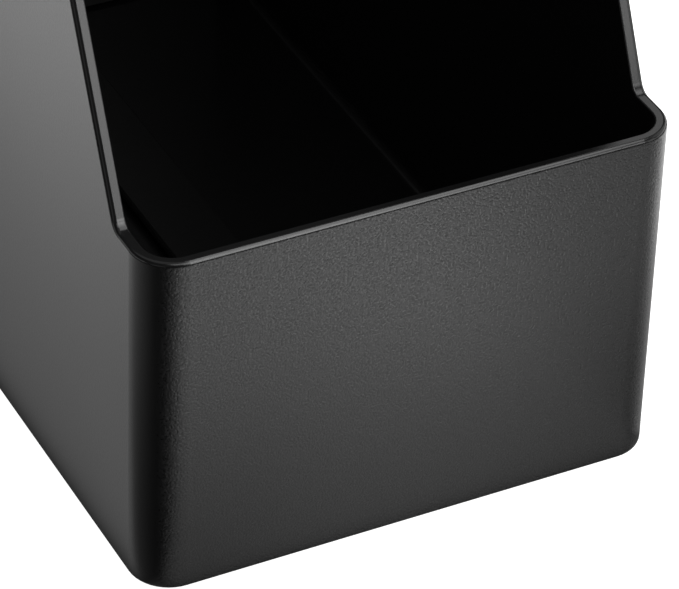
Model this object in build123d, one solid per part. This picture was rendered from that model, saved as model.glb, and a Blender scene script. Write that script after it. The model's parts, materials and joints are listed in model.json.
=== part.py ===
from build123d import *
import math
import os

# Countertop napkin dispenser: a deep open bin with a low front lip, and inside it a
# follower that slides along a floor rail and holds the napkins upright.
# Millimetres, +Z up. Origin at the middle of the footprint, on the surface it stands on.
# The low front lip faces -Y.

# ---- overall size ----
WIDTH = 150.0
DEPTH = 310.0
HEIGHT = 230.0
FOOT_PROUD = 2.2

# ---- bin ----
WALL = 3.2
SIDE_WALL = 3.5
CORNER_R = 11.4
LIP_HEIGHT = 102.95
LEVEL_RUN = 20.0
SIDE_SLOPE = 64.3
BEND_R = 3.8
SHOULDER_R = 22.0
RIM_OUTER_R = 1.2
RIM_INNER_R = 0.5
BASE_EDGE_R = 1.2
COVE_R = 3.0

# ---- feet ----
FOOT_D = 14.0
FOOT_POCKET = 0.8
FOOT_POCKET_GAP = 0.2
FOOT_CHAMFER = 0.8
FOOT_X = 58.0
FOOT_Y = 138.0

# ---- rail on the floor ----
RAIL_BASE_W = 10.0
RAIL_BASE_H = 2.0
RAIL_HEAD_W = 20.0
RAIL_HEAD_H = 2.2
RAIL_FRONT_INSET = 9.0
RAIL_REAR_INSET = 7.0
RAIL_SCREW_PITCH = 88.0
RAIL_SCREW_COUNT = 3
RAIL_EDGE = 0.5
RAIL_SKIN = 0.8

# ---- M3 fasteners ----
M3 = 3.0
M3_CLEAR = 3.4
CSK_HEAD_D = 5.6
CSK_HEAD_H = 1.7
BUTTON_D = 5.7
BUTTON_H = 1.65
BUTTON_EDGE_R = 1.1
DRIVE_AF = 2.0
DRIVE_DEPTH = 0.9
THREAD_RELIEF = 0.4

# ---- follower ----
BAY_LENGTH = 256.0
FOLLOWER_TRAVEL = 240.0
PLATE_W = 132.0
PLATE_T = 3.0
PLATE_TOP = 158.0
PLATE_TOP_R = 12.0
PLATE_FOOT_R = 4.0
PLATE_LIFT = 1.2
PLATE_FLANGE_DEPTH = 8.0
PLATE_FLANGE_T = 2.5
PLATE_FLANGE_Z = (16.0, 142.0)
PLATE_FLANGE_R = 5.0
PLATE_SCREW_X = 13.0
PLATE_SCREW_Z = (34.0, 76.0)
SCOOP_R = 60.0
SCOOP_DEPTH = 10.0
NOTCH_HALF = 17.0
NOTCH_LAP = 1.0
CARRIAGE_W = 40.0
CARRIAGE_L = 44.0
CARRIAGE_T = 10.0
CARRIAGE_CORNER_R = 3.0
CARRIAGE_LIFT = 3.6
UPRIGHT_T = 4.0
UPRIGHT_TOP = 88.0
UPRIGHT_CORNER_R = 5.0
RIB_T = 3.0
RIB_INSET = 4.0
BOSS_R = 4.0
BOSS_L = 6.0
BOSS_BORE_L = 9.0
GLIDE_W = 34.0
GLIDE_L = 12.0
REAR_GLIDE_L = 10.0
GLIDE_CORNER_R = 1.5
GLIDE_SIDE_GAP = 0.15
GLIDE_TOP_GAP = 0.1
GLIDE_UNDER_GAP = 0.2
GLIDE_STEM_GAP = 0.4
GLIDE_LIFT = 0.4
GLIDE_SCREW_X = 13.5
GLIDE_SCREW_INSET = 3.5
GLIDE_SCREW_HOLD = 6.0
STOP_GAP = 0.3
STOP_L = 8.0
STOP_H = 3.0
STOP_W = 16.0
STOP_CORNER_R = 2.0
BUMPER_R = 4.0
BUMPER_EDGE_R = 1.2

# ---- brake lever ----
PIN_D = 4.0
PIN_CLEARANCE = 0.05
PIN_OVERHANG = 1.6
PIN_CHAMFER = 0.3
CLIP_T = 0.6
CLIP_GAP = 0.2
CLIP_MOUTH = 2.4
CLIP_GROOVE_R = 1.6
CLIP_OUTER_R = 3.6
LEVER_T = 5.0
LEVER_HUB_R = 5.0
LEVER_TOP_R = 3.6
LEVER_TOP_Z = 150.0
LEVER_LEAN = 18.0
GRIP_W = 24.0
GRIP_L = 11.6
GRIP_H = 28.0
GRIP_TOP_GAP = 6.0
GRIP_CORNER_R = 4.0
GRIP_TOP_R = 3.0
GRIP_FOOT_R = 1.0
GROOVE_COUNT = 5
GROOVE_FIRST_Z = -7.5
GROOVE_PITCH = 3.6
GROOVE_W = 1.2
GROOVE_DEPTH = 0.7
GROOVE_MARGIN = 4.5
NOSE_W = 9.0
NOSE_L = 15.0
NOSE_H = 6.0
NOSE_BLOCK_H = 4.5
NOSE_SETBACK = 7.5
PAD_L = 12.0
PAD_W = 6.0
PAD_T = 2.4
PAD_SEAT = 0.9
PAD_GAP = 0.1
PAD_EDGE = 0.5
SLOT_HALF = 8.0
SLOT_FRONT_INSET = 2.5
SLOT_REAR_INSET = 0.5
SLOT_RISE = 4.0
SPRING_WIRE = 0.9
SPRING_R = 3.9
SPRING_TURNS = 3.75
SPRING_PITCH = 1.05
SPRING_LEG = 11.5
SPRING_FOOT = 7.6
SPRING_HOLE_GAP = 0.1
SPRING_X = LEVER_T / 2 + SPRING_WIRE / 2 + 0.3

# ---- places that follow from the sizes above ----
FRONT = -DEPTH / 2
REAR = DEPTH / 2
BIN_BOTTOM = FOOT_PROUD
FLOOR = BIN_BOTTOM + WALL
LIP_TOP = BIN_BOTTOM + LIP_HEIGHT
RAIL_TOP = FLOOR + RAIL_BASE_H + RAIL_HEAD_H
RAIL_FRONT = FRONT + RAIL_FRONT_INSET
RAIL_REAR = REAR - RAIL_REAR_INSET
CARRIAGE_BOTTOM = RAIL_TOP + CARRIAGE_LIFT
CARRIAGE_TOP = CARRIAGE_BOTTOM + CARRIAGE_T
PLATE_FRONT = FRONT + BAY_LENGTH
PLATE_BACK = PLATE_FRONT + PLATE_T
CARRIAGE_REAR = PLATE_BACK + CARRIAGE_L
FRONT_GLIDE_Y = PLATE_BACK + 1.0
REAR_GLIDE_Y = CARRIAGE_REAR - REAR_GLIDE_L
PIVOT_Y = PLATE_BACK + 9.0
PIVOT_Z = CARRIAGE_BOTTOM + 5.5
NOSE_Y = PIVOT_Y + NOSE_SETBACK
NOSE_BOTTOM = RAIL_TOP + PAD_GAP + PAD_T - PAD_SEAT
LEVER_TOP_Y = PIVOT_Y + LEVER_LEAN
GLIDE_BOTTOM = FLOOR + GLIDE_LIFT


def block(x0, x1, y0, y1, z0, z1):
    """A box from its lowest to its highest corner."""
    centre = Pos((x0 + x1) / 2, (y0 + y1) / 2, (z0 + z1) / 2)
    return centre * Box(x1 - x0, y1 - y0, z1 - z0)


def rod(radius, start, direction, length):
    """A round bar from a point, along a direction."""
    return Solid.make_cylinder(radius, length, Plane(origin=start, z_dir=direction))


def cone(r0, r1, start, direction, length):
    """A conical bar from a point, along a direction."""
    return Solid.make_cone(r0, r1, length, Plane(origin=start, z_dir=direction))


def side_outline(points, x0, x1):
    """A closed (y, z) outline, extruded across the width from x0 to x1."""
    plane = Plane(origin=(x0, 0, 0), x_dir=(0, 1, 0), z_dir=(1, 0, 0))
    wire = Polyline(*points, close=True)
    return extrude(plane * make_face(wire), amount=x1 - x0)


def shared_edges(faces, other_faces):
    """Edges that a face of each group has in common."""
    others = [edge for face in other_faces for edge in face.edges()]
    found = ShapeList()
    for face in faces:
        for edge in face.edges():
            if any(edge.is_same(other) for other in others):
                found.append(edge)
    return found


def drive_socket(start, direction):
    """The hexagon socket of a screw head, cut from start along direction."""
    plane = Plane(origin=start, z_dir=direction)
    return extrude(plane * RegularPolygon(DRIVE_AF / math.sqrt(3), 6), amount=DRIVE_DEPTH)


def countersunk_screw(head, direction, length):
    """A flush M3 screw from the middle of its head's face, along direction."""
    screw = rod(M3 / 2, head, direction, length)
    screw += cone(CSK_HEAD_D / 2, M3 / 2, head, direction, CSK_HEAD_H)
    return screw - drive_socket(head, direction)


def countersink(head, direction, length, radius):
    """The hole that a flush screw sits in."""
    hole = rod(radius, head, direction, length)
    return hole + cone(CSK_HEAD_D / 2, radius, head, direction, CSK_HEAD_H)


def button_screw(seat, direction, length):
    """A button-head M3 screw from the seat under its head, along direction."""
    seat = Vector(*seat)
    direction = Vector(*direction)
    crown = seat - direction * BUTTON_H
    head = rod(BUTTON_D / 2, crown, direction, BUTTON_H)
    circles = head.edges().filter_by(GeomType.CIRCLE)
    rim = circles.sort_by(lambda e: (e.center() - crown).length)[0]
    head = fillet(rim, BUTTON_EDGE_R)
    screw = head + rod(M3 / 2, seat, direction, length)
    return screw - drive_socket(crown, direction)


# ---- bin ----

def rim_profile():
    """Side view of the bin: level lip, steep rise, level top."""
    rise = HEIGHT - LIP_TOP
    bend_y = FRONT + LEVEL_RUN
    shoulder_y = bend_y + rise / math.tan(math.radians(SIDE_SLOPE))
    points = [
        (FRONT - 1, BIN_BOTTOM),
        (FRONT - 1, LIP_TOP),
        (bend_y, LIP_TOP),
        (shoulder_y, HEIGHT),
        (REAR + 1, HEIGHT),
        (REAR + 1, BIN_BOTTOM),
    ]
    solid = side_outline(points, -WIDTH, WIDTH)
    across = solid.edges().filter_by(Axis.X)
    bend = across.filter_by(lambda e: abs(e.center().Y - bend_y) < 0.1)
    solid = fillet(bend, BEND_R)
    across = solid.edges().filter_by(Axis.X)
    shoulder = across.filter_by(lambda e: abs(e.center().Y - shoulder_y) < 0.1)
    return fillet(shoulder, SHOULDER_R)


def tub(side_inset, end_inset, bottom, corner_r):
    """A full-height block with rounded corners, inset from the outer walls."""
    outline = RectangleRounded(WIDTH - 2 * side_inset, DEPTH - 2 * end_inset, corner_r)
    return extrude(Pos(0, 0, bottom) * outline, amount=HEIGHT - bottom)


def bottom_edges(solid, z):
    return solid.edges().filter_by(lambda e: abs(e.center().Z - z) < 0.01)


def foot_places():
    return [(sx * FOOT_X, sy * FOOT_Y) for sy in (-1, 1) for sx in (-1, 1)]


def rail_screw_places():
    middle = (RAIL_FRONT + RAIL_REAR) / 2
    first = middle - RAIL_SCREW_PITCH * (RAIL_SCREW_COUNT - 1) / 2
    return [first + RAIL_SCREW_PITCH * i for i in range(RAIL_SCREW_COUNT)]


def is_upright(face):
    return abs(face.normal_at().Z) < 0.01


def is_outer_wall(face):
    """True for the bin's outer walls and vertical corners."""
    middle = face.center()
    out_x = abs(middle.X) > WIDTH / 2 - SIDE_WALL
    out_y = abs(middle.Y) > DEPTH / 2 - WALL
    return is_upright(face) and (out_x or out_y)


def is_inner_wall(face):
    """True for the walls of the bin's cavity."""
    box = face.bounding_box()
    in_x = max(abs(box.min.X), abs(box.max.X)) < WIDTH / 2 - SIDE_WALL + 0.01
    in_y = max(abs(box.min.Y), abs(box.max.Y)) < DEPTH / 2 - WALL + 0.01
    return is_upright(face) and in_x and in_y


def make_bin():
    outer = tub(0, 0, BIN_BOTTOM, CORNER_R)
    outer = fillet(bottom_edges(outer, BIN_BOTTOM), BASE_EDGE_R)
    cavity = tub(SIDE_WALL, WALL, FLOOR, CORNER_R - SIDE_WALL)
    cavity = fillet(bottom_edges(cavity, FLOOR), COVE_R)
    outer = outer & rim_profile()
    walls = outer.faces().filter_by(is_outer_wall)
    tops = outer.faces().filter_by(lambda f: f.normal_at().Z > 0.1)
    outer = fillet(shared_edges(tops, walls), RIM_OUTER_R)
    shell = outer - cavity
    tops = shell.faces().filter_by(lambda f: f.normal_at().Z > 0.1 and f.center().Z > LIP_TOP - 1)
    inner_walls = shell.faces().filter_by(is_inner_wall)
    shell = fillet(shared_edges(tops, inner_walls), RIM_INNER_R)
    for x, y in foot_places():
        shell -= rod(FOOT_D / 2 + FOOT_POCKET_GAP, (x, y, BIN_BOTTOM), (0, 0, 1), FOOT_POCKET)
    for y in rail_screw_places():
        shell -= rod(M3_CLEAR / 2, (0, y, BIN_BOTTOM), (0, 0, 1), WALL)
    return shell


def make_foot(x, y):
    foot = rod(FOOT_D / 2, (x, y, 0), (0, 0, 1), FOOT_PROUD + FOOT_POCKET)
    return chamfer(bottom_edges(foot, 0), FOOT_CHAMFER)


# ---- rail, its screws and its stop ----

def stop_place():
    """Where the stop's rear face is, just ahead of the follower's last place."""
    return FRONT_GLIDE_Y - FOLLOWER_TRAVEL - STOP_GAP


def make_rail():
    head_z = FLOOR + RAIL_BASE_H
    rail = block(-RAIL_BASE_W / 2, RAIL_BASE_W / 2, RAIL_FRONT, RAIL_REAR, FLOOR, head_z)
    head = block(-RAIL_HEAD_W / 2, RAIL_HEAD_W / 2, RAIL_FRONT, RAIL_REAR, head_z, RAIL_TOP)
    edges = head.edges().filter_by(Axis.Y).group_by(Axis.Z)[-1]
    rail += chamfer(edges, RAIL_EDGE)
    for y in rail_screw_places():
        rail -= rod(M3 / 2, (0, y, FLOOR), (0, 0, 1), RAIL_TOP - FLOOR - RAIL_SKIN)
    rail -= rod(M3 / 2, (0, stop_place() - STOP_L / 2, FLOOR), (0, 0, 1), RAIL_TOP - FLOOR)
    return rail


def make_rail_screws():
    length = WALL + RAIL_TOP - FLOOR - RAIL_SKIN - THREAD_RELIEF
    return [button_screw((0, y, BIN_BOTTOM), (0, 0, 1), length) for y in rail_screw_places()]


def make_stop():
    rear = stop_place()
    stop = block(-STOP_W / 2, STOP_W / 2, rear - STOP_L, rear, RAIL_TOP, RAIL_TOP + STOP_H)
    stop = fillet(stop.edges().filter_by(Axis.Z), STOP_CORNER_R)
    head = (0, rear - STOP_L / 2, RAIL_TOP + STOP_H)
    return stop - countersink(head, (0, 0, -1), STOP_H, M3_CLEAR / 2)


def make_stop_screw():
    head = (0, stop_place() - STOP_L / 2, RAIL_TOP + STOP_H)
    return countersunk_screw(head, (0, 0, -1), STOP_H + RAIL_TOP - FLOOR - THREAD_RELIEF)


# ---- follower ----

def plate_screw_places():
    return [(sx * PLATE_SCREW_X, z) for z in PLATE_SCREW_Z for sx in (-1, 1)]


def make_plate():
    half = PLATE_W / 2
    plate = block(-half, half, PLATE_FRONT, PLATE_BACK, FLOOR + PLATE_LIFT, PLATE_TOP)
    plate = fillet(plate.edges().filter_by(Axis.Y).group_by(Axis.Z)[-1], PLATE_TOP_R)
    plate = fillet(plate.edges().filter_by(Axis.Y).group_by(Axis.Z)[0], PLATE_FOOT_R)
    for side in (-1, 1):
        inner = side * (half - PLATE_FLANGE_T)
        x0, x1 = sorted((inner, side * half))
        flange = block(x0, x1, PLATE_FRONT + 1, PLATE_BACK + PLATE_FLANGE_DEPTH, *PLATE_FLANGE_Z)
        plate += fillet(flange.edges().filter_by(Axis.X).group_by(Axis.Y)[-1], PLATE_FLANGE_R)
    plate -= rod(SCOOP_R, (0, PLATE_FRONT, PLATE_TOP + SCOOP_R - SCOOP_DEPTH), (0, 1, 0), PLATE_T)
    notch_top = CARRIAGE_BOTTOM + NOTCH_LAP
    plate -= block(-NOTCH_HALF, NOTCH_HALF, PLATE_FRONT, PLATE_BACK, 0, notch_top)
    for x, z in plate_screw_places():
        plate -= countersink((x, PLATE_FRONT, z), (0, 1, 0), PLATE_T, M3_CLEAR / 2)
    return plate


def make_plate_screws():
    length = PLATE_T + BOSS_BORE_L - THREAD_RELIEF
    return [countersunk_screw((x, PLATE_FRONT, z), (0, 1, 0), length) for x, z in plate_screw_places()]


def glide_screw_places():
    ys = (FRONT_GLIDE_Y + GLIDE_SCREW_INSET, CARRIAGE_REAR - REAR_GLIDE_L / 2)
    return [(sx * GLIDE_SCREW_X, y) for y in ys for sx in (-1, 1)]


def make_carriage():
    half = CARRIAGE_W / 2
    body = block(-half, half, PLATE_BACK, CARRIAGE_REAR, CARRIAGE_BOTTOM, CARRIAGE_TOP)
    body = fillet(body.edges().filter_by(Axis.Z).group_by(Axis.Y)[-1], CARRIAGE_CORNER_R)
    upright = block(-half, half, PLATE_BACK, PLATE_BACK + UPRIGHT_T, CARRIAGE_BOTTOM, UPRIGHT_TOP)
    upright = fillet(upright.edges().filter_by(Axis.Y).group_by(Axis.Z)[-1], UPRIGHT_CORNER_R)
    body += upright
    rib = [
        (PLATE_BACK + UPRIGHT_T, UPRIGHT_TOP - RIB_INSET),
        (CARRIAGE_REAR - RIB_INSET, CARRIAGE_TOP),
        (PLATE_BACK + UPRIGHT_T, CARRIAGE_TOP),
    ]
    for x0 in (-half, half - RIB_T):
        body += side_outline(rib, x0, x0 + RIB_T)
    for x, z in plate_screw_places():
        body += rod(BOSS_R, (x, PLATE_BACK + UPRIGHT_T, z), (0, 1, 0), BOSS_L)
    for x, z in plate_screw_places():
        body -= rod(M3 / 2, (x, PLATE_BACK, z), (0, 1, 0), BOSS_BORE_L)
    slot_front = PLATE_BACK + SLOT_FRONT_INSET
    slot_rear = REAR_GLIDE_Y - SLOT_REAR_INSET
    body -= block(-SLOT_HALF, SLOT_HALF, slot_front, slot_rear, 0, CARRIAGE_TOP + SLOT_RISE)
    body -= rod(PIN_D / 2, (-WIDTH, PIVOT_Y, PIVOT_Z), (1, 0, 0), 2 * WIDTH)
    for x, y in glide_screw_places():
        body -= rod(M3 / 2, (x, y, CARRIAGE_BOTTOM), (0, 0, 1), GLIDE_SCREW_HOLD + THREAD_RELIEF)
    coil = spring_coil()
    hole_r = SPRING_WIRE / 2 + SPRING_HOLE_GAP
    return body - rod(hole_r, coil @ 1, coil % 1, SPRING_FOOT + THREAD_RELIEF)


def make_glide(y0, length):
    """A shoe that wraps the rail's head, open over the rail's base."""
    half = GLIDE_W / 2
    top = CARRIAGE_BOTTOM
    glide = block(-half, half, y0, y0 + length, GLIDE_BOTTOM, top)
    glide = fillet(glide.edges().filter_by(Axis.Z), GLIDE_CORNER_R)
    head_half = RAIL_HEAD_W / 2 + GLIDE_SIDE_GAP
    base_half = RAIL_BASE_W / 2 + GLIDE_STEM_GAP
    head_bottom = FLOOR + RAIL_BASE_H - GLIDE_UNDER_GAP
    glide -= block(-head_half, head_half, y0, y0 + length, head_bottom, RAIL_TOP + GLIDE_TOP_GAP)
    glide -= block(-base_half, base_half, y0, y0 + length, 0, head_bottom)
    for x, y in glide_screw_places():
        if y0 < y < y0 + length:
            glide -= countersink((x, y, GLIDE_BOTTOM), (0, 0, 1), top - GLIDE_BOTTOM, M3_CLEAR / 2)
    return glide


def make_glide_screws():
    length = CARRIAGE_BOTTOM - GLIDE_BOTTOM + GLIDE_SCREW_HOLD
    return [countersunk_screw((x, y, GLIDE_BOTTOM), (0, 0, 1), length) for x, y in glide_screw_places()]


def clip_places():
    """The inner face of each clip, and its outward direction."""
    x = CARRIAGE_W / 2 + CLIP_GAP
    return [(x, 1), (-x, -1)]


def make_pivot_pin():
    half = CARRIAGE_W / 2 + PIN_OVERHANG
    pin = rod(PIN_D / 2, (-half, PIVOT_Y, PIVOT_Z), (1, 0, 0), 2 * half)
    pin = chamfer(pin.edges().filter_by(GeomType.CIRCLE), PIN_CHAMFER)
    for x, side in clip_places():
        ring = rod(PIN_D, (x, PIVOT_Y, PIVOT_Z), (side, 0, 0), CLIP_T)
        ring -= rod(CLIP_GROOVE_R, (x, PIVOT_Y, PIVOT_Z), (side, 0, 0), CLIP_T)
        pin -= ring
    return pin


def make_clip(x, side):
    clip = rod(CLIP_OUTER_R, (x, PIVOT_Y, PIVOT_Z), (side, 0, 0), CLIP_T)
    clip -= rod(CLIP_GROOVE_R, (x, PIVOT_Y, PIVOT_Z), (side, 0, 0), CLIP_T)
    half = CLIP_MOUTH / 2
    mouth = block(x - CLIP_T, x + CLIP_T, PIVOT_Y - half, PIVOT_Y + half, PIVOT_Z, CARRIAGE_TOP)
    return clip - mouth


def make_bumper():
    depth = REAR - WALL - STOP_GAP - CARRIAGE_REAR
    middle = (CARRIAGE_BOTTOM + CARRIAGE_TOP) / 2
    bumper = rod(BUMPER_R, (0, CARRIAGE_REAR, middle), (0, 1, 0), depth)
    return fillet(bumper.edges().group_by(Axis.Y)[-1], BUMPER_EDGE_R)


# ---- brake lever ----

def lever_side(radius, y, z, width):
    return rod(radius, (-width / 2, y, z), (1, 0, 0), width)


def tapered_arm(y0, z0, r0, y1, z1, r1, width):
    """A flat link between two round ends, with straight tangent sides."""
    reach = math.hypot(y1 - y0, z1 - z0)
    along = math.atan2(z1 - z0, y1 - y0)
    spread = math.acos((r0 - r1) / reach)
    points = []
    for y, z, r, sides in ((y0, z0, r0, (1, -1)), (y1, z1, r1, (-1, 1))):
        for side in sides:
            angle = along + side * spread
            points.append((y + r * math.cos(angle), z + r * math.sin(angle)))
    arm = side_outline(points, -width / 2, width / 2)
    return arm + lever_side(r0, y0, z0, width) + lever_side(r1, y1, z1, width)


def lever_arm():
    return tapered_arm(PIVOT_Y, PIVOT_Z, LEVER_HUB_R, LEVER_TOP_Y, LEVER_TOP_Z, LEVER_TOP_R, LEVER_T)


def make_lever():
    lever = lever_arm()
    web = [
        (PIVOT_Y, PIVOT_Z + LEVER_HUB_R),
        (NOSE_Y + NOSE_L, NOSE_BOTTOM + NOSE_H),
        (NOSE_Y + NOSE_L, NOSE_BOTTOM),
        (NOSE_Y, NOSE_BOTTOM),
        (NOSE_Y, PIVOT_Z - LEVER_HUB_R),
        (PIVOT_Y, PIVOT_Z - LEVER_HUB_R),
    ]
    lever += side_outline(web, -LEVER_T / 2, LEVER_T / 2)
    half = NOSE_W / 2
    nose_top = NOSE_BOTTOM + NOSE_BLOCK_H
    lever += block(-half, half, NOSE_Y, NOSE_Y + NOSE_L, NOSE_BOTTOM, nose_top)
    lever -= pad_block(NOSE_BOTTOM)
    bore = PIN_D / 2 + PIN_CLEARANCE
    return lever - rod(bore, (-WIDTH, PIVOT_Y, PIVOT_Z), (1, 0, 0), 2 * WIDTH)


def pad_block(bottom):
    y0 = NOSE_Y + (NOSE_L - PAD_L) / 2
    return block(-PAD_W / 2, PAD_W / 2, y0, y0 + PAD_L, bottom, NOSE_BOTTOM + PAD_SEAT)


def make_pad():
    pad = pad_block(RAIL_TOP + PAD_GAP)
    return chamfer(pad.edges().filter_by(Axis.X).group_by(Axis.Z)[0], PAD_EDGE)


def make_grip():
    """A rubber cap over the top of the lever, leaning as the lever does."""
    cap = fillet(Box(GRIP_W, GRIP_L, GRIP_H).edges().filter_by(Axis.Z), GRIP_CORNER_R)
    cap = fillet(cap.edges().group_by(Axis.Z)[-1], GRIP_TOP_R)
    cap = fillet(cap.edges().group_by(Axis.Z)[0], GRIP_FOOT_R)
    groove = Box(GRIP_W - 2 * GROOVE_MARGIN, 2 * GROOVE_DEPTH, GROOVE_W)
    for i in range(GROOVE_COUNT):
        for side in (-1, 1):
            cap -= Pos(0, side * GRIP_L / 2, GROOVE_FIRST_Z + GROOVE_PITCH * i) * groove
    middle = Pos(0, LEVER_TOP_Y, LEVER_TOP_Z - GRIP_H / 2 + GRIP_TOP_GAP)
    lean = math.degrees(math.atan2(LEVER_LEAN, LEVER_TOP_Z - PIVOT_Z))
    return middle * Rot(-lean, 0, 0) * cap - lever_arm()


def spring_coil():
    """The centre line of the spring's coil, from its front to its top."""
    frame = Plane(origin=(SPRING_X, PIVOT_Y, PIVOT_Z), x_dir=(0, -1, 0), z_dir=(1, 0, 0))
    return frame * Helix(SPRING_PITCH, SPRING_TURNS * SPRING_PITCH, SPRING_R)


def make_spring():
    """A torsion spring: a coil round the pin, a hooked leg and a straight leg."""
    wire_r = SPRING_WIRE / 2
    coil = spring_coil()
    hook = coil @ 0 - (coil % 0) * SPRING_LEG
    end = coil @ 1 + (coil % 1) * SPRING_FOOT
    path = Wire([Line(hook, coil @ 0).edge(), coil.edge(), Line(coil @ 1, end).edge()])
    spring = sweep(Plane(origin=hook, z_dir=coil % 0) * Circle(wire_r), path=path)
    return spring + Pos(hook) * Sphere(wire_r) + rod(wire_r, hook, (-1, 0, 0), SPRING_X + LEVER_T / 2)


def save(name, shape):
    if isinstance(shape, list):
        shape = Compound(children=shape)
    shape.label = name
    export_step(shape, f"parts/{name}.step")


def main():
    os.makedirs("parts", exist_ok=True)
    save("bin_shell", make_bin())
    foot_names = ("foot_front_left", "foot_front_right", "foot_rear_left", "foot_rear_right")
    for name, (x, y) in zip(foot_names, foot_places()):
        save(name, make_foot(x, y))
    save("guide_track", make_rail())
    save("track_screws", make_rail_screws())
    save("front_stop", make_stop())
    save("stop_screw", make_stop_screw())
    save("follower_plate", make_plate())
    save("follower_carriage", make_carriage())
    save("plate_screws", make_plate_screws())
    save("front_glide", make_glide(FRONT_GLIDE_Y, GLIDE_L))
    save("rear_glide", make_glide(REAR_GLIDE_Y, REAR_GLIDE_L))
    save("glide_screws", make_glide_screws())
    save("pivot_pin", make_pivot_pin())
    save("pin_clips", [make_clip(x, side) for x, side in clip_places()])
    save("rear_bumper", make_bumper())
    save("release_lever", make_lever())
    save("brake_pad", make_pad())
    save("lever_grip", make_grip())
    save("return_spring", make_spring())


main()
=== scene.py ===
"""A countertop napkin dispenser in a plain studio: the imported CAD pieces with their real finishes."""
import json
import math

import bpy
from mathutils import Matrix, Vector


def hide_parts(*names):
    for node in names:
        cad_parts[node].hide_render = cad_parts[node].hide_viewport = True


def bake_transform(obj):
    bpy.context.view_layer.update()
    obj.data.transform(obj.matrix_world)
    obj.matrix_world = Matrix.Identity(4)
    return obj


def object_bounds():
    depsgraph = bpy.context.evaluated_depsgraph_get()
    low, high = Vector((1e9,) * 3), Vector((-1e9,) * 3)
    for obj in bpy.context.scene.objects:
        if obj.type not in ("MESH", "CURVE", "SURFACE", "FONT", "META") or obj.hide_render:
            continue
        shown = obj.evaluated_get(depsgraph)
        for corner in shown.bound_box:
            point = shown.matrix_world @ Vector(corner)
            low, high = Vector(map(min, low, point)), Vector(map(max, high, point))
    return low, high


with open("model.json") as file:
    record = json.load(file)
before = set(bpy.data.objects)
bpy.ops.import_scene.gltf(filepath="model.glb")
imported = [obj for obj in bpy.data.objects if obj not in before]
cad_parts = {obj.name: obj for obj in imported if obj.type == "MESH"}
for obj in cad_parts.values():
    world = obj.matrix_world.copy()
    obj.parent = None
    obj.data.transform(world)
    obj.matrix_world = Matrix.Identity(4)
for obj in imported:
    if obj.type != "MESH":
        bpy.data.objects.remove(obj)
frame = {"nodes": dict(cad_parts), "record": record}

cad_low, cad_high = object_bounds()
MM = 0.001

# ---------------------------------------------------------------- camera

SENSOR_WIDTH = 36.0
LENS = 228.94
CAMERA_PLACE = Vector((-0.42846, -0.91975, 0.72082))
CAMERA_YAW = math.radians(27.96)
CAMERA_PITCH = math.radians(36.38)
CAMERA_ROLL = math.radians(2.11)
CLIP_START = 0.05
CLIP_END = 100.0


def make_camera():
    """A long lens from the front left and above, turned a little about its own axis."""
    level_right = Vector((math.cos(CAMERA_YAW), -math.sin(CAMERA_YAW), 0))
    ahead = Vector((
        math.sin(CAMERA_YAW) * math.cos(CAMERA_PITCH),
        math.cos(CAMERA_YAW) * math.cos(CAMERA_PITCH),
        -math.sin(CAMERA_PITCH),
    ))
    level_up = level_right.cross(ahead)
    right = level_right * math.cos(CAMERA_ROLL) + level_up * math.sin(CAMERA_ROLL)
    up = level_up * math.cos(CAMERA_ROLL) - level_right * math.sin(CAMERA_ROLL)
    data = bpy.data.cameras.new("camera")
    data.sensor_width = SENSOR_WIDTH
    data.lens = LENS
    data.clip_start = CLIP_START
    data.clip_end = CLIP_END
    camera = bpy.data.objects.new("camera", data)
    turn = Matrix((right, up, -ahead)).transposed().to_4x4()
    camera.matrix_world = Matrix.Translation(CAMERA_PLACE) @ turn
    bpy.context.scene.collection.objects.link(camera)
    bpy.context.scene.camera = camera


# ---------------------------------------------------------------- node helpers

EDGE_SAMPLES = 4
# How far apart the bevelled and the plain normal stand where an edge begins to show and where it shows fully.
EDGE_TURN = (0.1, 0.7)


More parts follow.
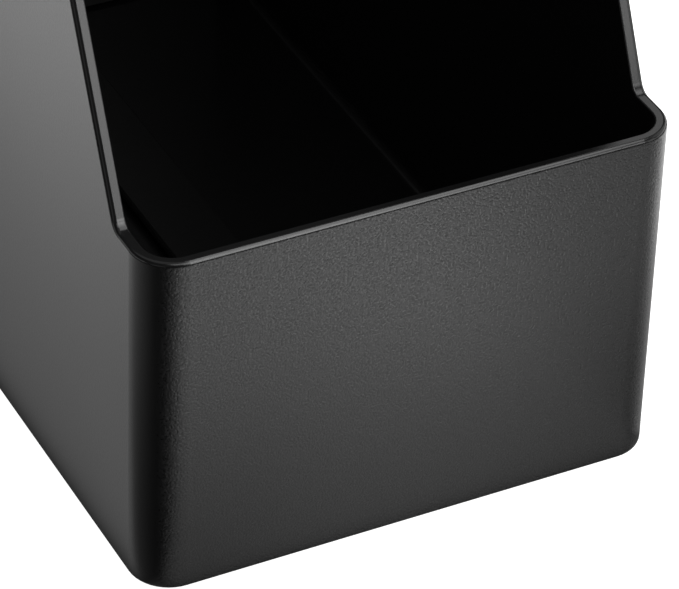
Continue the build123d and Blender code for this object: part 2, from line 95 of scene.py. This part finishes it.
class Shader:
    """A material's node tree, with the few kinds of node that the finishes use."""

    def __init__(self, name):
        self.material = bpy.data.materials.new(name)
        self.material.use_nodes = True
        self.tree = self.material.node_tree
        self.surface = self.tree.nodes["Principled BSDF"]
        self.place = self.node("ShaderNodeTexCoord").outputs["Object"]

    def node(self, kind, **settings):
        made = self.tree.nodes.new(kind)
        for key, value in settings.items():
            setattr(made, key, value)
        return made

    def join(self, source, target):
        self.tree.links.new(source, target)

    def set(self, **values):
        for key, value in values.items():
            self.surface.inputs[key.replace("_", " ")].default_value = value

    def stretched(self, scale):
        """The place, scaled differently along each axis."""
        mapping = self.node("ShaderNodeMapping")
        mapping.inputs["Scale"].default_value = scale
        self.join(self.place, mapping.inputs["Vector"])
        return mapping.outputs["Vector"]

    def noise(self, size, detail=2.0, roughness=0.5, place=None):
        """Soft noise whose features are about size metres across."""
        made = self.node("ShaderNodeTexNoise")
        made.inputs["Scale"].default_value = 1.0 / size
        made.inputs["Detail"].default_value = detail
        made.inputs["Roughness"].default_value = roughness
        self.join(place or self.place, made.inputs["Vector"])
        return made.outputs["Fac"]

    def edge(self, radius):
        """About 1 on sharp edges, within a radius of them, and 0 on flats."""
        eased = self.node("ShaderNodeBevel", samples=EDGE_SAMPLES)
        eased.inputs["Radius"].default_value = radius
        straight = self.node("ShaderNodeNewGeometry").outputs["Normal"]
        apart = self.length(self.vector("SUBTRACT", eased.outputs["Normal"], straight))
        return self.between(apart, 0, 1, *EDGE_TURN)

    def between(self, value, low, high, from_low=0.0, from_high=1.0, smooth=False):
        """The value mapped from one range to another, held at its ends."""
        made = self.node("ShaderNodeMapRange")
        made.interpolation_type = "SMOOTHSTEP" if smooth else "LINEAR"
        made.inputs["From Min"].default_value = from_low
        made.inputs["From Max"].default_value = from_high
        made.inputs["To Min"].default_value = low
        made.inputs["To Max"].default_value = high
        self.join(value, made.inputs["Value"])
        return made.outputs["Result"]

    def lookup(self, value, low, high, stops):
        """A level read off stops of (value, level), in line between them, for values from low to high."""
        made = self.node("ShaderNodeValToRGB")
        elements = made.color_ramp.elements
        while len(elements) < len(stops):
            elements.new(0.5)
        for element, (stop, level) in zip(elements, stops):
            element.position = (stop - low) / (high - low)
            element.color = (level, level, level, 1)
        self.join(self.between(value, 0, 1, low, high), made.inputs["Fac"])
        return made.outputs["Color"]

    def part(self, value, axis):
        """One of a vector's three parts."""
        made = self.node("ShaderNodeSeparateXYZ")
        self.join(value, made.inputs[0])
        return made.outputs[axis]

    def math(self, operation, first, second=0.0):
        made = self.node("ShaderNodeMath", operation=operation)
        for socket, value in zip(made.inputs, (first, second)):
            if isinstance(value, (int, float)):
                socket.default_value = value
            else:
                self.join(value, socket)
        return made.outputs["Value"]

    def vector(self, operation, *values):
        made = self.node("ShaderNodeVectorMath", operation=operation)
        for socket, value in zip(made.inputs, values):
            if isinstance(value, (tuple, Vector)):
                socket.default_value = value
            else:
                self.join(value, socket)
        return made.outputs["Vector"]

    def length(self, value):
        made = self.node("ShaderNodeVectorMath", operation="LENGTH")
        self.join(value, made.inputs[0])
        return made.outputs["Value"]

    def either(self, factor, first, second):
        """A mix of two shaders, by factor."""
        made = self.node("ShaderNodeMixShader")
        self.join(factor, made.inputs["Fac"])
        self.join(first, made.inputs[1])
        self.join(second, made.inputs[2])
        return made.outputs["Shader"]

    def output(self, shader):
        self.join(shader, self.tree.nodes["Material Output"].inputs["Surface"])

    def blend(self, factor, first, second):
        """A colour between two, by factor."""
        made = self.node("ShaderNodeMix", data_type="RGBA")
        self.join(factor, made.inputs["Factor"])
        for socket, value in zip((made.inputs[6], made.inputs[7]), (first, second)):
            if isinstance(value, (tuple, list)):
                socket.default_value = (*value, 1)
            else:
                self.join(value, socket)
        return made.outputs[2]

    def bump(self, height, distance, below=None):
        """Bumps as deep as distance metres, on top of other bumps."""
        made = self.node("ShaderNodeBump")
        made.inputs["Distance"].default_value = distance
        self.join(height, made.inputs["Height"])
        if below:
            self.join(below, made.inputs["Normal"])
        return made.outputs["Normal"]

    def finish(self, color=None, roughness=None, normal=None):
        for name, value in (("Base Color", color), ("Roughness", roughness), ("Normal", normal)):
            if value is not None:
                self.join(value, self.surface.inputs[name])
        return self.material


# ---------------------------------------------------------------- finishes

PLASTIC_IOR = 1.5
# Noise sizes and bump depths of the bin.
GRAIN_SIZE, GRAIN_DEPTH = 0.62 * MM, 0.17 * MM
FINE_SIZE, FINE_DEPTH = 0.22 * MM, 0.008 * MM
WAVE_SIZE, WAVE_DEPTH = 45 * MM, 0.12 * MM
CLOUD_SIZE = 14 * MM
WALL_ROUGHNESS = 0.33
RIM_ROUGHNESS = 0.2
# The change of roughness from the grain's hollows to its tops, and the noise levels where it begins and ends.
GRAIN_SWING = (-0.17, 0.23)
GRAIN_LEVELS = (0.28, 0.72)
# The grain fades where the normal's Z rises through this range, so the rims are smooth.
LEVEL_FADE = (0.02, 0.3)
# The sides have this share of the front's grain. The change falls where the normal's Y is in this range.
SIDE_GRAIN = 0.15
SIDE_FADE = (0.7, 0.97)


def bin_plastic(name):
    """Black ABS from a spark-eroded mould: a fine soft grain under a satin surface, and smooth rims."""
    s = Shader(name)
    s.set(IOR=PLASTIC_IOR, Specular_IOR_Level=0.5)
    grain = s.noise(GRAIN_SIZE, detail=1.5)
    fine = s.noise(FINE_SIZE, detail=2)
    waves = s.noise(WAVE_SIZE, detail=1)
    cloud = s.noise(CLOUD_SIZE, detail=3)
    color = s.blend(cloud, (0.004, 0.004, 0.0041), (0.006, 0.006, 0.0061))
    outward = s.node("ShaderNodeNewGeometry").outputs["Normal"]
    upright = s.between(s.part(outward, "Z"), 1, 0, *LEVEL_FADE, smooth=True)
    facing = s.between(s.math("ABSOLUTE", s.part(outward, "Y")), SIDE_GRAIN, 1, *SIDE_FADE)
    swing = s.math("MULTIPLY", s.between(grain, *GRAIN_SWING, *GRAIN_LEVELS), facing)
    wall = s.math("ADD", swing, WALL_ROUGHNESS)
    above_rim = s.math("MULTIPLY", s.math("SUBTRACT", wall, RIM_ROUGHNESS), upright)
    roughness = s.math("ADD", above_rim, RIM_ROUGHNESS)
    relief = s.math("MULTIPLY", s.math("MULTIPLY", grain, upright), facing)
    normal = s.bump(waves, WAVE_DEPTH)
    normal = s.bump(relief, GRAIN_DEPTH, below=normal)
    normal = s.bump(s.math("MULTIPLY", fine, upright), FINE_DEPTH, below=normal)
    return s.finish(color, roughness, normal)


# How far in from an edge the wear reaches.
PLASTIC_WEAR = 0.35 * MM
RUBBER_WEAR = 0.4 * MM
METAL_WEAR = 0.2 * MM


def grey(level):
    return (level, level, level)


def plain_plastic(name, dark, light, rough, grain_size=0.6 * MM, depth=0.02 * MM):
    """Moulded plastic with a fine grain, and edges that handling has polished and paled."""
    s = Shader(name)
    grain = s.noise(grain_size, detail=3)
    cloud = s.noise(12 * MM, detail=2)
    patches = s.between(s.noise(2 * MM, detail=3), 0, 1, 0.35, 0.6)
    worn = s.math("MULTIPLY", s.edge(PLASTIC_WEAR), patches)
    paler = tuple(min(1.4 * c + 0.003, 0.8) for c in light)
    color = s.blend(worn, s.blend(cloud, dark, light), paler)
    roughness = s.between(grain, rough - 0.06, rough + 0.08)
    roughness = s.math("SUBTRACT", roughness, s.math("MULTIPLY", worn, 0.1))
    return s.finish(color, roughness, s.bump(grain, depth))


def rubber(name, dark, light):
    """Dull rubber with dust in it and slightly rubbed edges."""
    s = Shader(name)
    s.set(IOR=PLASTIC_IOR, Specular_IOR_Level=0.4)
    grain = s.noise(0.3 * MM, detail=4, roughness=0.7)
    dust = s.noise(5 * MM, detail=4, roughness=0.6)
    rubbed = s.edge(RUBBER_WEAR)
    color = s.blend(s.between(dust, 0, 1, 0.35, 0.75), dark, light)
    color = s.blend(rubbed, color, tuple(1.5 * c for c in light))
    roughness = s.between(grain, 0.6, 0.85)
    roughness = s.math("SUBTRACT", roughness, s.math("MULTIPLY", rubbed, 0.15))
    return s.finish(color, roughness, s.bump(grain, 0.03 * MM))


# The length of the lines in metal, and their width as a share of it.
LINE_LENGTH = 4 * MM
LINE_WIDTH = 0.04


def metal(name, tint, rough, along):
    """Metal with fine lines along one axis, faint handling marks and bright edges."""
    s = Shader(name)
    s.set(Metallic=1.0)
    scale = [1.0 / LINE_WIDTH if axis != along else 1.0 for axis in "xyz"]
    lines = s.noise(LINE_LENGTH, detail=4, place=s.stretched(scale))
    marks = s.noise(4 * MM, detail=5, roughness=0.65)
    darker = tuple(0.75 * c for c in tint)
    bright = s.edge(METAL_WEAR)
    color = s.blend(s.between(marks, 0, 1, 0.35, 0.7), darker, tint)
    color = s.blend(bright, color, tuple(min(1.15 * c, 0.85) for c in tint))
    roughness = s.between(lines, rough - 0.07, rough + 0.1)
    roughness = s.math("SUBTRACT", roughness, s.math("MULTIPLY", bright, 0.08))
    return s.finish(color, roughness, s.bump(lines, 0.01 * MM))


def urethane(name):
    """Cast amber urethane, a little cloudy."""
    s = Shader(name)
    s.set(IOR=PLASTIC_IOR)
    cloud = s.noise(3 * MM, detail=3)
    color = s.blend(cloud, (0.42, 0.19, 0.03), (0.6, 0.3, 0.06))
    return s.finish(color, s.between(cloud, 0.35, 0.5), s.bump(cloud, 0.02 * MM))


def make_finishes():
    """Every finish, by the record's name for its material slot."""
    recipes = (
        ("bin_plastic", bin_plastic),
        ("follower_plastic", plain_plastic, grey(0.011), grey(0.018), 0.42),
        ("foot_rubber", rubber, grey(0.012), grey(0.03)),
        ("track_metal", plain_plastic, grey(0.004), grey(0.005), 0.24, 0.15 * MM, 0.004 * MM),
        ("screw_steel", metal, (0.62, 0.62, 0.64), 0.3, "z"),
        ("pin_steel", metal, (0.66, 0.66, 0.68), 0.22, "x"),
        ("spring_steel", metal, (0.5, 0.5, 0.52), 0.28, "x"),
        ("stop_plastic", plain_plastic, grey(0.012), grey(0.02), 0.4),
        ("glide_nylon", plain_plastic, (0.62, 0.6, 0.53), (0.72, 0.7, 0.63), 0.45),
        ("lever_nylon", plain_plastic, (0.03, 0.03, 0.031), (0.05, 0.05, 0.052), 0.5, 0.4 * MM),
        ("grip_rubber", rubber, grey(0.02), grey(0.035)),
        ("brake_urethane", urethane),
    )
    return {name: make(name, *values) for name, make, *values in recipes}


def dress_nodes():
    finishes = make_finishes()
    slots = {part["node"]: part["material_slot"] for part in frame["record"]["subparts"]}
    for name, piece in frame["nodes"].items():
        piece.material_slots[0].material = finishes[slots[name]]


# ---------------------------------------------------------------- spring


def make_spring():
    """The return spring: a copy of its CAD mesh that stands in for the hidden original."""
    source = frame["nodes"]["return_spring"]
    spring = bpy.data.objects.new("spring_wire", source.data.copy())
    bpy.context.scene.collection.objects.link(spring)
    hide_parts("return_spring")
    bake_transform(spring)


# ---------------------------------------------------------------- floor and light

FLOOR_HALF = 40.0
FLOOR_GLOW = 0.96
WORLD_GLOW = 0.07
POOL_HALF = 3.0
POOL_PEAK = 3.16
# The longest distance that POOL_BY_DISTANCE is read at.
POOL_REACH = 0.5
# Light off the floor by distance in metres from the object's foot, as a share of the peak.
POOL_BY_DISTANCE = (
    (0.0, 0.13), (0.0005, 0.02), (0.003, 0.02), (0.0045, 0.235), (0.02, 0.255),
    (0.04, 0.29), (0.06, 0.365), (0.08, 0.49), (0.092, 0.61), (0.1, 0.78),
    (0.113, 0.98), (0.13, 1.1), (0.17, 0.86), (0.25, 0.24), (0.4, 0.05),
)
# Shares by heading from a front corner, in degrees from the front towards the left.
LEFT_CORNER_SHADE = (
    (-18, 1.0), (0, 0.57), (12, 0.22), (26, 0.045), (38, 0.003), (64, 0.003), (84, 0.07), (112, 0.16),
    (138, 0.24), (145, 0.42), (149, 0.67), (153, 1.08), (156, 1.05), (160, 0.91), (165, 0.82), (180, 0.81),
)
RIGHT_CORNER_SHADE = (
    (-108, 0.88), (-90, 0.71), (-72, 0.43), (-54, 0.37), (-30, 0.42), (-16, 0.54), (-4, 0.9), (8, 1.0),
)
# Shares by the place on the front wall that a patch of floor lights, in metres from its middle.
FRONT_SPREAD = (
    (-0.1, 0.8), (-0.06, 0.68), (-0.045, 0.81), (-0.02, 0.96), (0.0, 1.0), (0.02, 0.96), (0.04, 0.87),
    (0.065, 0.75), (0.1, 0.8), (0.13, 0.64),
)
# Sideways shift of that place for each metre that the floor lies before the wall.
FRONT_SHEAR = 0.58
# A brighter patch of floor, which lights the middle of the front wall just under the lip. Its share is at
# its centre and falls to 1 at its radius.
PATCH_PLACE = (0.056, -0.265, 0)
PATCH_RADIUS = 0.042
PATCH_SHARE = 1.6


def unit(azimuth, elevation):
    """A direction: azimuth in degrees from the front (-Y) towards the left (-X)."""
    a, e = math.radians(azimuth), math.radians(elevation)
    return Vector((-math.sin(a) * math.cos(e), -math.cos(a) * math.cos(e), math.sin(e)))


def flat_square(name, half):
    """A square on the surface that the object stands on, not counted as a part of it."""
    z = cad_low.z
    mesh = bpy.data.meshes.new(name)
    corners = [(-half, -half, z), (half, -half, z), (half, half, z), (-half, half, z)]
    mesh.from_pydata(corners, [], [(0, 1, 2, 3)])
    square = bpy.data.objects.new(name, mesh)
    bpy.context.scene.collection.objects.link(square)
    return square


def make_floor():
    """A white light-table floor: it glows, and shows from above only."""
    floor = flat_square("floor", FLOOR_HALF)
    s = Shader("floor")
    s.set(Base_Color=(0.5, 0.5, 0.5, 1), Roughness=1.0, Specular_IOR_Level=0.0)
    s.set(Emission_Color=(1, 1, 1, 1), Emission_Strength=FLOOR_GLOW)
    clear = s.node("ShaderNodeBsdfTransparent").outputs["BSDF"]
    under = s.node("ShaderNodeNewGeometry").outputs["Backfacing"]
    s.output(s.either(under, s.surface.outputs["BSDF"], clear))
    floor.data.materials.append(s.material)
    floor.visible_glossy = False
    floor.visible_diffuse = False
    floor.visible_shadow = False
    floor.visible_transmission = False


def corner_shade(s, corner_x, stops):
    """The share of light by heading from a front corner of the footprint."""
    back = s.vector("SUBTRACT", (corner_x, cad_low.y, 0), s.place)
    heading = s.math("ARCTAN2", s.part(back, "X"), s.part(back, "Y"))
    return s.lookup(heading, -math.pi, math.pi, [(math.radians(turn), level) for turn, level in stops])


def make_pool():
    """The light that the floor sends back to the walls: a bright pool round the object, dimmer
    close to its foot and shaded off both front corners."""
    pool = flat_square("floor_pool", POOL_HALF)
    s = Shader("floor_pool")
    beyond = s.vector("SUBTRACT", s.vector("ABSOLUTE", s.place), (cad_high.x, cad_high.y, 0))
    gap = s.vector("MAXIMUM", beyond, (0, 0, 0))
    shift = s.math("MULTIPLY", s.part(gap, "Y"), FRONT_SHEAR)
    lit_place = s.math("SUBTRACT", s.part(s.place, "X"), shift)
    front_reach = 2 * cad_high.x
    from_patch = s.length(s.vector("SUBTRACT", s.place, PATCH_PLACE))
    shares = (
        s.lookup(lit_place, -front_reach, front_reach, FRONT_SPREAD),
        corner_shade(s, cad_low.x, LEFT_CORNER_SHADE),
        corner_shade(s, cad_high.x, RIGHT_CORNER_SHADE),
        s.between(from_patch, PATCH_SHARE, 1, 0, PATCH_RADIUS, smooth=True),
    )
    strength = s.math("MULTIPLY", s.lookup(s.length(gap), 0, POOL_REACH, POOL_BY_DISTANCE), POOL_PEAK)
    for share in shares:
        strength = s.math("MULTIPLY", strength, share)
    glow = s.node("ShaderNodeEmission")
    s.join(strength, glow.inputs["Strength"])
    s.output(glow.outputs["Emission"])
    pool.data.materials.append(s.material)
    pool.visible_camera = False
    pool.visible_shadow = False


def softbox(name, direction, distance, size, radiance, target, along=(0, 0, 1)):
    """A rectangular light of even radiance that faces a target from a direction. Its size is
    given across and along a second direction."""
    data = bpy.data.lights.new(name, "AREA")
    data.shape = "RECTANGLE"
    data.size, data.size_y = size
    data.energy = radiance * math.pi * size[0] * size[1]
    lamp = bpy.data.objects.new(name, data)
    back = Vector(direction).normalized()
    across = Vector(along).cross(back).normalized()
    turn = Matrix((across, back.cross(across), back)).transposed().to_4x4()
    lamp.matrix_world = Matrix.Translation(target + back * distance) @ turn
    lamp.visible_camera = False
    bpy.context.scene.collection.objects.link(lamp)


def make_world():
    """A dim studio that the camera sees as white."""
    world = bpy.data.worlds.new("studio")
    bpy.context.scene.world = world
    world.use_nodes = True
    tree = world.node_tree
    back = tree.nodes["Background"]
    seen = tree.nodes.new("ShaderNodeLightPath").outputs["Is Camera Ray"]
    strength = tree.nodes.new("ShaderNodeMapRange")
    strength.inputs["To Min"].default_value = WORLD_GLOW
    strength.inputs["To Max"].default_value = 1.0
    tree.links.new(seen, strength.inputs["Value"])
    tree.links.new(strength.outputs["Result"], back.inputs["Strength"])
    back.inputs["Color"].default_value = (1, 1, 1, 1)


def make_lights():
    """A tall key and an overhead strip for the rim, dimmer cards round its corners, and low cards
    that the sides and the back mirror."""
    lip = Vector((0, cad_low.y, 0.1))
    left_corner = Vector((cad_low.x, cad_low.y, 0.1))
    left_rise = Vector((cad_low.x, cad_low.y + 0.05, 0.175))
    right_corner = Vector((cad_high.x, cad_low.y + 0.01, 0.105))
    beside_right = Vector((2 * cad_high.x, cad_low.y + 0.01, 0.105))
    middle = Vector((0, 0, 0.11))
    level = (0, 1, 0)
    # Name, direction, distance, size across and along, radiance, target and, if it isn't upright, the
    # second direction.
    cards = (
        ("key", unit(-27.5, 33.5), 1.1, (0.21, 0.88), 5.0, lip),
        ("overhead", (0.387, -0.13, 0.912), 1.1, (0.30, 0.95), 4.0, lip, level),
        ("rise_card", (0.387, -0.913, 0.13), 0.4, (0.11, 0.15), 3.4, left_rise),
        ("left_card", (0, -0.5, 0.866), 1.1, (0.60, 0.6), 1.9, lip),
        ("right_card", (0.85, 0.05, 0.5), 1.1, (0.9, 0.8), 0.75, right_corner),
        ("back_card", (0.387, 0.668, 0.636), 1.0, (0.16, 0.5), 1.05, beside_right),
        ("left_fill", (-0.8, -0.6, 0.03), 1.5, (0.9, 0.5), 0.3, left_rise),
        ("sky", (-0.12, 0.3, 0.95), 2.5, (1.8, 2.2), 0.35, lip, level),
        ("left_rim_card", unit(-19, 36), 1.1, (0.27, 0.5), 2.6, left_corner),
        ("right_rim_card", (0.72, -0.66, 0.12), 1.1, (0.36, 0.9), 1.3, right_corner),
        ("low_left", (-0.93, 0.37, -0.1), 1.5, (1.9, 0.9), 0.9, middle),
        ("low_right", (1, 0, -0.1), 1.5, (1.9, 0.9), 1.9, middle),
        ("low_back", (0, 1, -0.1), 1.5, (1.9, 0.9), 1.9, middle),
    )
    for card in cards:
        softbox(*card)


bpy.context.scene.view_settings.view_transform = "Standard"
make_camera()
dress_nodes()
make_spring()
make_floor()
make_pool()
make_world()
make_lights()
